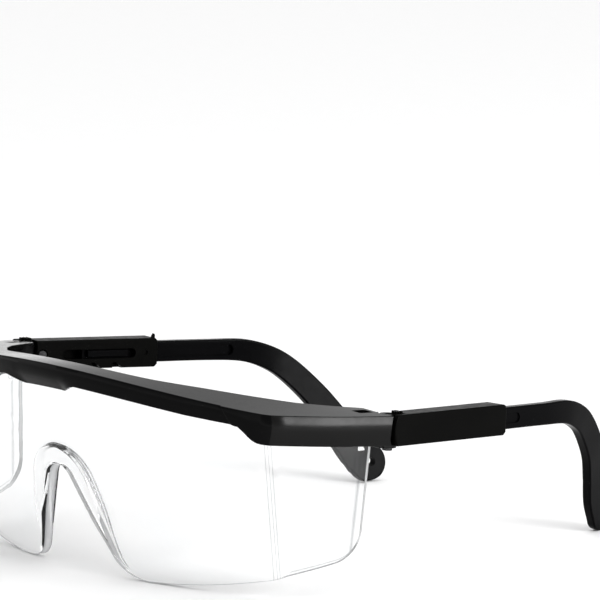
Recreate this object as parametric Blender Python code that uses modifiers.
"""Safety glasses: a one-piece clear lens in a black brow frame, with temples that fold, tilt and slide.

Lengths are in millimetres in the design frame and become metres in the helpers. The design frame has
X across the face (+X is the wearer's left), Y towards the ears and Z up, with the front edge of the
brow at Y = 0 and the top of the frame level. The whole assembly then leans back by BODY_PITCH, which
is how the glasses rest on a table, on the lens's lower edge and the two temple tips.
"""

import math

import bmesh
import bpy
from mathutils import Euler, Matrix, Vector

MM = 0.001
SIDES = ((1, "left"), (-1, "right"))

# Driving dimensions
BROW_TOP = 48.4
BROW_REACH = 60.0  # half width over which the brow sweeps back and droops
BROW_SWEEP = 15.0
BROW_DROOP = (6.5, 1.7)
GAP = 0.3  # clearance between neighbouring parts
THROUGH = 60.0  # reach of a cutter that passes right through
BODY_PITCH = 3.6  # degrees, front up, so that lens edge and temple tips share one plane
BODY_LIFT = 6.92
BODY_FORWARD = 80.763

# Lens
LENS_THICKNESS = 2.0
LENS_LEAN = 0.302  # run back for each unit down
LENS_SETBACK = 1.8  # lens front behind the brow's front edge
LENS_EDGE_DROP = 2.2  # lens top below the frame's top face
EDGE_LOWEST = -5.6
EDGE_FLAT_HALF = 18.0  # the lower edge is level this far from the middle, then rises to the corner
CORNER_X = 62.0
CORNER_FLARE = 4.0 / 35.0
CORNER_RUN = 3.0  # length of the rounded corner on each side
SHIELD_REAR_X = 69.6
SHIELD_REAR_Y = 49.6
SHIELD_FLARE = 3.0 / 35.0
SHIELD_TOP = 36.2
SHIELD_RISE = 0.32
SHIELD_RISE_FROM = 30.0
SHIELD_CORNER_RADIUS = 6.0
SHIELD_BULGE = 0.8
NOSE_OUTER = (11.7, 27.0, 0.305)  # radius of the arch, top height, spread of the legs for each unit down
NOSE_INNER = (4.8, 21.9, 0.51)
NOSE_FRONT = 1.8  # the nose rim stands this far in front of the lens
NOSE_DEPTH = 4.2
NOSE_FOOT_Z = -0.4
NOTCH_FLARE = ((15.0, -1.6), (16.6, -3.2), (19.2, -4.7), (24.5, -6.0))  # half width and height below the feet
LATCH_TAB = ((70.45, 45.9, 33.0), (72.25, 48.9, 41.2))
LATCH_WINDOW = ((69.5, 45.2, 30.0), (73.0, 49.6, 50.0))
CORNER_RIB = ((62.1, 22.2, 28.5), (63.9, 25.0, 35.5))
CORNER_RELIEF = ((61.0, 21.0, 27.0), (64.6, 26.4, 37.2))

# Temple, in its own frame: origin on the fold axis, X outwards, Y along the temple
HINGE_X = 74.85
HINGE_Y = 53.0
TOE_IN = 8.0
SLEEVE_Z = 38.55
SLEEVE_HEIGHT = 7.9
SLEEVE_OUTER = 4.0
SLEEVE_INNER = -2.0
SLEEVE_WALL = 1.3
SLEEVE_REAR = 41.3
CHANNEL_HEIGHT = 6.3
KNUCKLE_RADIUS = 2.3
KNUCKLE_BOTTOM = 38.2
KNUCKLE_TOP = 42.4
LUG_START = 49.95
LUG_BOTTOM = 33.9
LUG_TOP = 37.9
FOLD_ROOM = 0.8  # how far the frame's rear end stands back inside the knuckle, for the folded sleeve
PIN_RADIUS = 0.8
PIN_HEAD_RADIUS = 1.3
PIN_HEAD = 0.7
BORE_RADIUS = PIN_RADIUS + GAP
TILT_Y = 5.4
TILT_DISC_RADIUS = 2.9
CHEEK_RADIUS = 7.2
DISH_RADIUS = 7.9
FORK_DEPTH = 3.7
TOOTH_PITCH = 0.95
TOOTH_WIDTH = 0.8
TOOTH_FOOT = 42.0
TOOTH_TIP = 43.1
SLOT_START = 11.5
SLOT_END = 34.4
SLOT_HEIGHT = 2.6
NOTCH_STARTS = (14.0, 20.6, 27.2)
NOTCH_LENGTH = 2.9
ARM_FRONT = 18.5
ARM_HEIGHT = 5.7
ARM_OUTER = 2.4
ARM_INNER = -0.4
ARM_HALF = (ARM_OUTER - ARM_INNER) / 2
ARM_CHAMFER = 0.45
SLEEVE_CHAMFER = 0.8
KEY = ((-1.6, 19.6), (0.0, 33.2))  # the arm's key in the sleeve's slot, X and Y
KEY_HALF = 0.9
GROOVE_DEPTH = 0.4
OUTER_GROOVE = (36.0, 48.5, 1.3)  # start, end and half height
INNER_GROOVE = (36.0, 66.0, 1.5)
EYELET_RADIUS = 1.2


# ---------------------------------------------------------------- helpers


def sided(mesh, side):
    """Mirror a left-hand mesh for the right-hand side."""
    if side < 0:
        bmesh.ops.scale(mesh, vec=(-1.0, 1.0, 1.0), verts=mesh.verts)
    return mesh


def clear_scene():
    """Remove every object of the open scene."""
    for obj in list(bpy.data.objects):
        bpy.data.objects.remove(obj, do_unlink=True)


def collection(name, hidden=False):
    """A new collection in the scene."""
    made = bpy.data.collections.new(name)
    bpy.context.scene.collection.children.link(made)
    made.hide_render = hidden
    return made


def material(name, colour, roughness, transmission=0.0):
    """A Principled material."""
    made = bpy.data.materials.new(name)
    made.use_nodes = True
    shader = made.node_tree.nodes["Principled BSDF"]
    shader.inputs["Base Color"].default_value = (*colour, 1.0)
    shader.inputs["Roughness"].default_value = roughness
    shader.inputs["Metallic"].default_value = 0.0
    shader.inputs["Transmission Weight"].default_value = transmission
    shader.inputs["IOR"].default_value = 1.58 if transmission else 1.5
    return made


def mesh_object(name, mesh, group, finish=None, parent=None):
    """An object of a bmesh, closed up and facing outwards."""
    bmesh.ops.recalc_face_normals(mesh, faces=mesh.faces)
    data = bpy.data.meshes.new(name)
    mesh.to_mesh(data)
    mesh.free()
    obj = bpy.data.objects.new(name, data)
    group.objects.link(obj)
    if finish:
        data.materials.append(finish)
    obj.parent = parent
    return obj


def as_cutter(obj):
    """Keep a cutter out of the render and draw it as wire."""
    obj.hide_render = True
    obj.display_type = "WIRE"
    return obj


def combine(obj, other, operation):
    """Join another object to this one, or cut it away."""
    change = obj.modifiers.new(f"{operation.lower()} {other.name}", "BOOLEAN")
    change.operation = operation
    change.object = other
    change.solver = "EXACT"
    return change


def box(low, high):
    """A bmesh box between two corners, in millimetres."""
    mesh = bmesh.new()
    low, high = Vector(low) * MM, Vector(high) * MM
    size = high - low
    place = Matrix.Translation((low + high) / 2) @ Matrix.Diagonal((*size, 1.0))
    bmesh.ops.create_cube(mesh, size=1.0, matrix=place)
    return mesh


def cylinder(centre, radius, length, axis, segments=32):
    """A bmesh cylinder about a centre, along X or Z, in millimetres."""
    mesh = bmesh.new()
    turn = Matrix.Rotation(math.radians(90), 4, "Y") if axis == "X" else Matrix.Identity(4)
    bmesh.ops.create_cone(
        mesh,
        cap_ends=True,
        segments=segments,
        radius1=radius * MM,
        radius2=radius * MM,
        depth=length * MM,
        matrix=Matrix.Translation(Vector(centre) * MM) @ turn,
    )
    return mesh


def loft(rings, close_start=True, close_end=True):
    """Skin a list of rings, each with the same number of points in millimetres."""
    mesh = bmesh.new()
    grown = [[mesh.verts.new(Vector(point) * MM) for point in ring] for ring in rings]
    count = len(grown[0])
    for first, second in zip(grown, grown[1:]):
        for i in range(count):
            j = (i + 1) % count
            mesh.faces.new((first[i], first[j], second[j], second[i]))
    if close_start:
        mesh.faces.new(grown[0])
    if close_end:
        mesh.faces.new(list(reversed(grown[-1])))
    return mesh


def prism(outline, axis, start, end):
    """A flat outline in millimetres swept straight from start to end along X or Y."""
    if axis == "Y":
        rings = [[(a, end_at, b) for a, b in outline] for end_at in (start, end)]
    else:
        rings = [[(end_at, a, b) for a, b in outline] for end_at in (start, end)]
    return loft(rings)


def smoothstep(low, high, value):
    """0 below low, 1 above high and a smooth rise between."""
    t = min(max((value - low) / (high - low), 0.0), 1.0)
    return t * t * (3 - 2 * t)


def through(points, value):
    """The smooth curve through rising (place, number, ...) points, read at a place."""
    places = [point[0] for point in points]
    value = min(max(value, places[0]), places[-1])
    span = max(i for i in range(len(points) - 1) if places[i] <= value)
    width = places[span + 1] - places[span]
    t = (value - places[span]) / width

    def slope(i, k):
        low, high = max(i - 1, 0), min(i + 1, len(points) - 1)
        return (points[high][k] - points[low][k]) / (places[high] - places[low])

    result = []
    for k in range(1, len(points[0])):
        a, b = points[span][k], points[span + 1][k]
        ma, mb = slope(span, k) * width, slope(span + 1, k) * width
        result.append(
            (2 * t**3 - 3 * t**2 + 1) * a
            + (t**3 - 2 * t**2 + t) * ma
            + (3 * t**2 - 2 * t**3) * b
            + (t**3 - t**2) * mb
        )
    return result


# ---------------------------------------------------------------- shared surfaces


def brow_front(x):
    """How far the brow's front edge lies behind its middle."""
    return BROW_SWEEP * (x / BROW_REACH) ** 2


def brow_top(x):
    """The height of the frame's crowned top face."""
    u = x / BROW_REACH
    return BROW_TOP - BROW_DROOP[0] * u**2 + BROW_DROOP[1] * u**4


def lens_front(x, z):
    """Y of the lens's outer face in front of the eyes."""
    return brow_front(x) + LENS_SETBACK + LENS_LEAN * (brow_top(x) - LENS_EDGE_DROP - z)


def corner_x(z):
    """X of the corner between the lens's front and its side shield."""
    return CORNER_X + CORNER_FLARE * z


def shield_rear_x(z):
    """X of the side shield's rear edge."""
    return SHIELD_REAR_X + SHIELD_FLARE * z


def lens_edge_low(x):
    """Height of the lens's lower edge in front."""
    rise = max(abs(x) - EDGE_FLAT_HALF, 0.0) / (CORNER_X - EDGE_FLAT_HALF)
    return EDGE_LOWEST * (1 - rise**2)


def shield_edge_low(y):
    """Height of the side shield's lower edge, with its round rear corner."""
    level = SHIELD_RISE * (y - SHIELD_RISE_FROM)
    short = y - (SHIELD_REAR_Y - SHIELD_CORNER_RADIUS)
    if short > 0:
        level += SHIELD_CORNER_RADIUS - math.sqrt(max(SHIELD_CORNER_RADIUS**2 - short**2, 0.0))
    return level


def arch(shape, low, steps=14):
    """The nose arch as an open outline: straight legs that spread downwards, tangent to a round top."""
    radius, top, spread = shape
    centre = top - radius
    lift = math.atan(spread)
    foot = radius / math.cos(lift) + spread * (centre - low)
    points = [(foot, low)]
    for i in range(steps + 1):
        angle = lift + (math.pi - 2 * lift) * i / steps
        points.append((radius * math.cos(angle), centre + radius * math.sin(angle)))
    points.append((-foot, low))
    return points


# ---------------------------------------------------------------- lens


def lens_sheet(grow=0.0, edge_gain=0.0, past_end=False):
    """Half of the lens as a walled sheet: front panel, rounded corner and side shield.

    grow thickens the wall on both faces, edge_gain raises the top edge and past_end lengthens the shield.
    """
    rows = 12
    front = [i / 22 for i in range(23)]
    corner = [1.0 + i / 10 for i in range(1, 4)]
    side = [1.3 + 0.7 * i / 10 for i in range(1, 11)]
    groove_low = 8.0
    rings = []

    def plan(t, z):
        """Plan place of the sheet's outer face and its outward direction, t from 0 to 2."""
        end_x = corner_x(z) - CORNER_RUN
        start = Vector((end_x, lens_front(end_x, z)))
        corner = Vector((corner_x(z), lens_front(corner_x(z), z)))
        rear = Vector((shield_rear_x(z), SHIELD_REAR_Y))
        leave = corner + (rear - corner).normalized() * CORNER_RUN
        if t <= 1.0:
            x = end_x * t
            here = Vector((x, lens_front(x, z)))
            slope = 2 * BROW_SWEEP * x / BROW_REACH**2
            return here, Vector((slope, -1.0)).normalized()
        if t <= 1.3:
            s = (t - 1.0) / 0.3
            here = start * (1 - s) ** 2 + corner * 2 * s * (1 - s) + leave * s**2
            along = (corner - start) * (1 - s) + (leave - corner) * s
            return here, Vector((along.y, -along.x)).normalized()
        run = (rear - leave).length
        along = (rear - leave) / run
        away = Vector((along.y, -along.x))
        gone = (t - 1.3) / 0.7
        bulge = SHIELD_BULGE * math.sin(math.pi * min(gone, 1.0))
        return leave + along * (gone * run) + away * bulge, away

    stations = front + corner + side
    if past_end:
        stations.append(2.1)
    for t in stations:
        outer, inner = [], []
        for row in range(rows + 1):
            v = row / rows
            foot, head = plan(t, 0.0)[0], plan(t, SHIELD_TOP)[0]
            if t <= 1.15:
                low, high = lens_edge_low(foot.x), brow_top(head.x) - LENS_EDGE_DROP + edge_gain
            else:
                low, high = shield_edge_low(foot.y), SHIELD_TOP + edge_gain
            if edge_gain and row == 0:
                low = max(low, groove_low)
            z = low + (high - low) * v
            place, away = plan(t, z)
            a = place + away * grow
            b = place - away * (LENS_THICKNESS + grow)
            if t == 0.0:
                a.x = b.x = 0.0
            outer.append((a.x, a.y, z))
            inner.append((b.x, b.y, z))
        rings.append(outer + list(reversed(inner)))
    return loft(rings, close_start=False)


def half_to_whole(obj):
    """Mirror a half that is open at the middle plane."""
    mirror = obj.modifiers.new("other half", "MIRROR")
    mirror.use_axis[0] = True
    mirror.use_clip = True
    mirror.merge_threshold = 0.00005
    return obj


def nose_rim(group, parent):
    """The thick moulded rim that rests on the nose, leaning with the lens."""
    outer = arch(NOSE_OUTER, NOSE_FOOT_Z)
    inner = arch(NOSE_INNER, NOSE_FOOT_Z)
    outline = outer + list(reversed(inner))
    rings = []
    for depth in (-NOSE_FRONT, NOSE_DEPTH - NOSE_FRONT):
        rings.append([(x, lens_front(x, z) + depth, z) for x, z in outline])
    return as_cutter(mesh_object("nose_rim_shape", loft(rings), group, parent=parent))


def nose_opening(group, parent):
    """The cutter of the nose notch, flared below the rim's feet."""
    right = list(reversed(NOTCH_FLARE))
    left = [(-x, z) for x, z in NOTCH_FLARE]
    outline = [*right, *arch(NOSE_INNER, NOSE_FOOT_Z), *left]
    shape = prism(outline, "Y", -THROUGH, THROUGH)
    return as_cutter(mesh_object("nose_notch", shape, group, parent=parent))


def make_lens(parts, cutters, finish, parent):
    """The clear one-piece lens with side shields, nose rim, corner ribs and latch tabs."""
    lens = mesh_object("lens", lens_sheet(), parts, finish, parent)
    half_to_whole(lens)
    combine(lens, nose_rim(cutters, parent), "UNION")
    combine(lens, nose_opening(cutters, parent), "DIFFERENCE")
    for side, name in SIDES:
        for label, corners in (("latch_tab", LATCH_TAB), ("corner_rib", CORNER_RIB)):
            block = sided(box(*corners), side)
            combine(lens, as_cutter(mesh_object(f"{label}_{name}", block, cutters, parent=parent)), "UNION")
    return lens


# ---------------------------------------------------------------- brow frame


# place, outer x, outer y, inner x, inner y, height of the outer wall, of the middle and of the inner wall
FRAME_STATIONS = (
    (0.0, 0.0, 0.0, 0.0, 8.2, 4.6, 4.4),
    (1.4, 14.0, 0.82, 14.0, 9.4, 4.6, 4.4),
    (3.0, 30.0, 3.75, 29.0, 13.6, 4.5, 4.0),
    (4.5, 45.0, 8.44, 41.5, 22.4, 4.5, 4.0),
    (5.6, 56.7, 13.39, 50.0, 29.0, 4.5, 4.4),
    (5.7, 57.2, 13.1, 50.4, 29.4, 4.5, 4.5),
    (6.9, 69.4, 19.6, 58.0, 36.2, 7.6, 6.0),
    (7.2, 70.6, 21.9, 59.0, 37.4, 7.6, 6.2),
    (8.6, 75.6, 35.8, 63.4, 44.0, 7.6, 6.6),
    (10.0, 78.95, 51.7, 67.6, 51.7, 7.6, 6.6),
)
BUMP_DROP = 2.2
BUMP_FLAT = 8.0
BUMP_END = 13.0
BUMP_LEAN = 0.9  # run back of the bump's lower edge for each unit of its drop
PLATE = 1.9
RIM = 1.6
FRONT_BLOCK = 6.3


def frame_ring(place):
    """The frame's section at a place along it, from the outer top edge round to the outer lower edge."""
    ox, oy, ix, iy, outer_drop, inner_drop = through(FRAME_STATIONS, place)
    outer, inner = Vector((ox, oy)), Vector((ix, iy))
    if place < 5.65:
        outer.y = brow_front(ox)
    width = (inner - outer).length
    across = (inner - outer) / width
    block = FRONT_BLOCK + (width - RIM - 0.4 - FRONT_BLOCK) * smoothstep(5.7, 7.2, place)
    block = min(block, width - RIM - 0.4)
    bump = BUMP_DROP * (1 - smoothstep(BUMP_FLAT, BUMP_END, ox))

    def top_at(point):
        """The top face follows the brow's crown and is level along the side."""
        return max(brow_top(min(point.x, 69.3)) - 0.05 * max(point.x - 69.3, 0.0), 0.0)

    ring = []
    profile = (
        (0.0, 0.0),
        (width, 0.0),
        (width, -inner_drop),
        (width - RIM, -inner_drop),
        (width - RIM, -PLATE),
        (block, -PLATE),
        (block, -outer_drop),
        (BUMP_LEAN * bump, -outer_drop - bump),
    )
    for along, drop in profile:
        point = outer + across * along
        top = top_at(outer) if along < width - RIM - 0.5 else top_at(inner)
        ring.append((point.x, point.y, top + drop))
    return ring


def make_frame(parts, cutters, finish, parent):
    """The brow bar with its end caps, moulded in one: lens groove, latch windows and hinge lugs."""
    places = [0.14 * i for i in range(40)] + [5.6, 5.7, 5.9, 6.1, 6.3, 6.5, 6.7, 6.9, 7.05, 7.2]
    places += [7.2 + 0.28 * i for i in range(1, 11)]
    rings = [frame_ring(place) for place in places]
    for point, ring in enumerate(rings[0]):
        rings[0][point] = (0.0, ring[1], ring[2])
    frame = mesh_object("brow_frame", loft(rings, close_start=False), parts, finish, parent)
    half_to_whole(frame)
    groove = mesh_object("lens_groove", lens_sheet(GAP, GAP, True), cutters, parent=parent)
    combine(frame, as_cutter(half_to_whole(groove)), "DIFFERENCE")
    fold_room_low = (THROUGH, FRAME_STATIONS[-1][2] - FOLD_ROOM, 0.0)
    fold_room_high = (HINGE_X - KNUCKLE_RADIUS - 0.05, 2 * THROUGH, THROUGH)
    knuckle_centre = (HINGE_X, HINGE_Y, LUG_TOP + THROUGH / 2)
    tilt_centre = (HINGE_X, HINGE_Y + TILT_Y, SLEEVE_Z)
    for side, name in SIDES:
        shapes = {
            "latch_window": (box(*LATCH_WINDOW), "DIFFERENCE"),
            "corner_relief": (box(*CORNER_RELIEF), "DIFFERENCE"),
            "rear_dish": (cylinder(tilt_centre, DISH_RADIUS, THROUGH / 2, "X", 64), "DIFFERENCE"),
            "fold_room": (box(fold_room_low, fold_room_high), "DIFFERENCE"),
            "knuckle_room": (cylinder(knuckle_centre, KNUCKLE_RADIUS + 0.4, THROUGH, "Z"), "DIFFERENCE"),
            "hinge_lug": (lug(), "UNION"),
            "hinge_bore": (cylinder((HINGE_X, HINGE_Y, 0.0), BORE_RADIUS, 2 * THROUGH, "Z"), "DIFFERENCE"),
        }
        for label, (mesh, operation) in shapes.items():
            tool = mesh_object(f"{label}_{name}", sided(mesh, side), cutters, parent=parent)
            combine(frame, as_cutter(tool), operation)
    return frame


def lug():
    """The frame's hinge lug: a half-round tongue under the block's knuckle."""
    steps = 12
    outline = [(HINGE_X - KNUCKLE_RADIUS, LUG_START), (HINGE_X + KNUCKLE_RADIUS, LUG_START)]
    for i in range(steps + 1):
        angle = math.pi * i / steps
        outline.append(
            (HINGE_X + KNUCKLE_RADIUS * math.cos(angle), HINGE_Y + KNUCKLE_RADIUS * math.sin(angle))
        )
    return loft([[(x, y, z) for x, y in outline] for z in (LUG_BOTTOM, LUG_TOP)])


# ---------------------------------------------------------------- temples


def temple_place(side):
    """World place of a temple's own frame inside the body: on the fold axis, turned in by the toe-in."""
    return Matrix.Translation((side * HINGE_X * MM, HINGE_Y * MM, 0.0)) @ Euler(
        (0.0, 0.0, side * math.radians(TOE_IN))
    ).to_matrix().to_4x4()


def make_block(side, name, parts, cutters, finish, hinge):
    """The hinge block: knuckle on the fold pin, toothed top and the round tongue of the tilt pivot."""
    middle = (KNUCKLE_BOTTOM + KNUCKLE_TOP) / 2
    knuckle = cylinder((0.0, 0.0, middle), KNUCKLE_RADIUS, KNUCKLE_TOP - KNUCKLE_BOTTOM, "Z")
    block = mesh_object(f"hinge_block_{name}", sided(knuckle, side), parts, finish, hinge)
    neck = box((ARM_INNER, 0.5, KNUCKLE_BOTTOM), (ARM_OUTER, 2.9, KNUCKLE_TOP))
    bridge = box((ARM_INNER, 1.0, KNUCKLE_BOTTOM), (ARM_OUTER, TILT_Y, 40.6))
    disc = cylinder((1.0, TILT_Y, SLEEVE_Z), TILT_DISC_RADIUS, ARM_OUTER - ARM_INNER, "X", 40)
    shapes = [("neck", neck), ("bridge", bridge), ("disc", disc)]
    for i in range(3):
        y = 0.15 + TOOTH_PITCH * i
        outline = [(y, TOOTH_FOOT), (y + TOOTH_WIDTH, TOOTH_FOOT)]
        outline += [(y + 0.7 * TOOTH_WIDTH, TOOTH_TIP), (y + 0.2 * TOOTH_WIDTH, TOOTH_TIP)]
        shapes.append((f"tooth_{i + 1}", prism(outline, "X", ARM_INNER + 0.2, ARM_OUTER - 0.2)))
    for label, mesh in shapes:
        tool = mesh_object(f"block_{label}_{name}", sided(mesh, side), cutters, parent=hinge)
        combine(block, as_cutter(tool), "UNION")
    bores = {
        "fold_bore": cylinder((0.0, 0.0, middle), BORE_RADIUS, THROUGH, "Z"),
        "tilt_bore": cylinder((0.0, TILT_Y, SLEEVE_Z), BORE_RADIUS, THROUGH, "X"),
    }
    for label, mesh in bores.items():
        tool = mesh_object(f"block_{label}_{name}", sided(mesh, side), cutters, parent=hinge)
        combine(block, as_cutter(tool), "DIFFERENCE")
    return block


def turned_pin(name, length, group, finish, parent):
    """A headed pin as a turned profile about Z, its head at the bottom and centred on its length."""
    half = length / 2
    tip, head = 0.2, 0.1  # chamfers
    profile = [(0.0, half), (PIN_RADIUS - tip, half), (PIN_RADIUS, half - tip), (PIN_RADIUS, PIN_HEAD - half)]
    profile += [(PIN_HEAD_RADIUS, PIN_HEAD - half), (PIN_HEAD_RADIUS, head - half)]
    profile += [(PIN_HEAD_RADIUS - head, -half), (0.0, -half)]
    mesh = bmesh.new()
    points = [mesh.verts.new(Vector((x, 0.0, z)) * MM) for x, z in profile]
    for a, b in zip(points, points[1:]):
        mesh.edges.new((a, b))
    data = bpy.data.meshes.new(name)
    mesh.to_mesh(data)
    mesh.free()
    data.materials.append(finish)
    pin = bpy.data.objects.new(name, data)
    group.objects.link(pin)
    pin.parent = parent
    turn = pin.modifiers.new("turned", "SCREW")
    turn.steps = turn.render_steps = 28
    turn.use_merge_vertices = True
    turn.merge_threshold = 0.00001
    return pin


def sleeve_body():
    """The sleeve's outer shape: a bar with a round front and chamfered rear corners."""
    half = SLEEVE_HEIGHT / 2
    chamfer = SLEEVE_CHAMFER
    outline = []
    sweep = math.asin(half / CHEEK_RADIUS)
    for i in range(9):
        angle = sweep * (1 - i / 4)
        outline.append((TILT_Y - CHEEK_RADIUS * math.cos(angle), SLEEVE_Z + CHEEK_RADIUS * math.sin(angle)))
    outline += [(SLEEVE_REAR - chamfer, SLEEVE_Z - half), (SLEEVE_REAR, SLEEVE_Z - half + chamfer)]
    outline += [(SLEEVE_REAR, SLEEVE_Z + half - chamfer), (SLEEVE_REAR - chamfer, SLEEVE_Z + half)]
    return prism(outline, "X", SLEEVE_INNER, SLEEVE_OUTER)


def make_sleeve(side, name, parts, cutters, finish, hinge):
    """The temple sleeve: channel for the arm, fork for the hinge block, slot and notches inside."""
    sleeve = mesh_object(f"temple_sleeve_{name}", sided(sleeve_body(), side), parts, finish, hinge)
    half = CHANNEL_HEIGHT / 2
    inner_wall = SLEEVE_INNER + SLEEVE_WALL
    outer_wall = SLEEVE_OUTER - SLEEVE_WALL
    radius = SLOT_HEIGHT / 2
    slot = []
    for centre, start in ((SLOT_START + radius, 90), (SLOT_END - radius, -90)):
        for i in range(9):
            angle = math.radians(start + 22.5 * i)
            slot.append((centre + radius * math.cos(angle), SLEEVE_Z + radius * math.sin(angle)))
    blind = outer_wall + 0.6  # the tilt bore ends inside the outer wall
    past = 9.0
    cuts = {
        "channel": box((inner_wall, -past, SLEEVE_Z - half), (outer_wall, THROUGH, SLEEVE_Z + half)),
        "fork": box((-past, -past, SLEEVE_Z - past), (outer_wall, FORK_DEPTH, SLEEVE_Z + past)),
        "slot": prism(slot, "X", -past, inner_wall + 0.5),
        "tilt_bore": cylinder((blind - past / 2, TILT_Y, SLEEVE_Z), BORE_RADIUS, past, "X"),
        "head_recess": cylinder((-4.0, TILT_Y, SLEEVE_Z), PIN_HEAD_RADIUS + GAP, 6.0, "X"),
    }
    for i, start in enumerate(NOTCH_STARTS):
        low = SLEEVE_Z - SLEEVE_HEIGHT / 2 - 1.0  # below the sleeve, so that the notch is open
        end = start + NOTCH_LENGTH
        outline = [(start, low), (end, low), (end, low + 1.2), (start + 1.2, low + 2.6), (start, low + 2.7)]
        cuts[f"notch_{i + 1}"] = prism(outline, "X", -past, inner_wall + 0.5)
    for label, mesh in cuts.items():
        tool = mesh_object(f"sleeve_{label}_{name}", sided(mesh, side), cutters, parent=hinge)
        combine(sleeve, as_cutter(tool), "DIFFERENCE")
    return sleeve


# place along the centreline, distance along the temple, height, width, inward offset, half thickness
ARM_STATIONS = (
    (0.0, ARM_FRONT, SLEEVE_Z, ARM_HEIGHT, 0.0, ARM_HALF),
    (2.0, 40.0, SLEEVE_Z, ARM_HEIGHT, 0.0, ARM_HALF),
    (4.0, 60.0, SLEEVE_Z, ARM_HEIGHT, 0.2, ARM_HALF),
    (5.0, 69.5, 38.3, 6.1, 1.2, ARM_HALF),
    (6.0, 76.8, 36.3, 6.5, 2.8, ARM_HALF),
    (7.0, 82.6, 32.8, 6.8, 4.6, ARM_HALF),
    (8.0, 89.6, 26.2, 7.2, 7.3, ARM_HALF),
    (9.0, 94.7, 19.5, 8.2, 10.1, 1.35),
    (10.0, 99.2, 12.9, 9.8, 12.6, 1.3),
    (11.0, 103.4, 8.1, 10.6, 14.3, 1.25),
)
TIP_RADIUS = 5.3


def arm_ring(place, shrink=1.0, shift=0.0):
    """A chamfered rectangle across the arm's centreline."""
    y, z, width, inward, half = through(ARM_STATIONS, place)
    ahead = through(ARM_STATIONS, min(place + 0.05, 11.0))
    behind = through(ARM_STATIONS, max(place - 0.05, 0.0))
    along = Vector((behind[3] - ahead[3], ahead[0] - behind[0], ahead[1] - behind[1])).normalized()
    across = Vector((0.0, -along.z, along.y)).normalized()
    out = along.cross(across).normalized()
    if out.x < 0:
        out = -out
    middle = Vector((ARM_OUTER - ARM_HALF - inward, y, z)) + along * shift
    reach = width / 2 * shrink
    chamfer = ARM_CHAMFER
    ring = []
    for a, b in (
        (reach, half - chamfer),
        (reach, chamfer - half),
        (reach - chamfer, -half),
        (chamfer - reach, -half),
        (-reach, chamfer - half),
        (-reach, half - chamfer),
        (chamfer - reach, half),
        (reach - chamfer, half),
    ):
        ring.append(middle + across * a + out * b)
    return ring


def make_arm(side, name, parts, cutters, finish, hinge):
    """The temple arm: slide, ear hook and flat tip with an eyelet."""
    places = [0.0, 1.0, 2.0, 3.0, 4.0] + [4.0 + 0.25 * i for i in range(1, 29)]
    rings = [arm_ring(place) for place in places]
    for i in range(1, 8):
        angle = math.radians(12 * i)
        rings.append(arm_ring(11.0, math.cos(angle), TIP_RADIUS * math.sin(angle)))
    arm = mesh_object(f"temple_arm_{name}", sided(loft(rings), side), parts, finish, hinge)
    low, high = KEY
    key = box((*low, SLEEVE_Z - KEY_HALF), (*high, SLEEVE_Z + KEY_HALF))
    tool = mesh_object(f"arm_key_{name}", sided(key, side), cutters, parent=hinge)
    combine(arm, as_cutter(tool), "UNION")
    y, z, _, inward, _ = through(ARM_STATIONS, 11.0)
    cuts = {"eyelet": cylinder((1.0 - inward, y + 0.6, z + 0.2), EYELET_RADIUS, 16.0, "X", 24)}
    start, end, half = OUTER_GROOVE
    bottom = ARM_OUTER - GROOVE_DEPTH
    cuts["outer_groove"] = box((bottom, start, SLEEVE_Z - half), (bottom + 2.0, end, SLEEVE_Z + half))
    start, end, half = INNER_GROOVE
    bottom = ARM_INNER + GROOVE_DEPTH
    cuts["inner_groove"] = box((bottom - 2.0, start, SLEEVE_Z - half), (bottom, end, SLEEVE_Z + half))
    for label, mesh in cuts.items():
        tool = mesh_object(f"arm_{label}_{name}", sided(mesh, side), cutters, parent=hinge)
        combine(arm, as_cutter(tool), "DIFFERENCE")
    return arm


def make_temple(side, name, parts, cutters, finishes, body):
    """One temple with its hinge block and pins, on an empty that stands on the fold axis."""
    hinge = bpy.data.objects.new(f"fold_axis_{name}", None)
    parts.objects.link(hinge)
    hinge.parent = body
    hinge.matrix_local = temple_place(side)
    make_block(side, name, parts, cutters, finishes["nylon"], hinge)
    make_sleeve(side, name, parts, cutters, finishes["nylon"], hinge)
    make_arm(side, name, parts, cutters, finishes["nylon"], hinge)
    fold_pin = turned_pin(f"hinge_pin_{name}", 9.0, parts, finishes["steel"], hinge)
    fold_pin.location = Vector((0.0, 0.0, 37.7)) * MM
    tilt_pin = turned_pin(f"tilt_pin_{name}", 5.0, parts, finishes["steel"], hinge)
    tilt_pin.location = Vector((side * 0.55, TILT_Y, SLEEVE_Z)) * MM
    tilt_pin.rotation_euler = Euler((0.0, side * math.radians(90), 0.0))


def main():
    """Build the glasses."""
    clear_scene()
    parts = collection("safety_glasses")
    cutters = collection("cutters", hidden=True)
    finishes = {
        "clear": material("clear_polycarbonate", (0.95, 0.96, 0.97), 0.03, 1.0),
        "gloss": material("gloss_black_nylon", (0.012, 0.012, 0.013), 0.18),
        "nylon": material("satin_black_nylon", (0.014, 0.014, 0.015), 0.32),
        "steel": material("dark_steel", (0.18, 0.18, 0.19), 0.35),
    }
    body = bpy.data.objects.new("glasses_body", None)
    parts.objects.link(body)
    body.location = Vector((0.0, -BODY_FORWARD, BODY_LIFT)) * MM
    body.rotation_euler = Euler((-math.radians(BODY_PITCH), 0.0, 0.0))
    make_lens(parts, cutters, finishes["clear"], body)
    make_frame(parts, cutters, finishes["gloss"], body)
    for side, name in SIDES:
        make_temple(side, name, parts, cutters, finishes, body)
    for obj in parts.objects:
        if obj.type == "MESH":
            obj.data.shade_smooth()
            obj.data.set_sharp_from_angle(angle=math.radians(30))


if __name__ == "__main__":
    main()
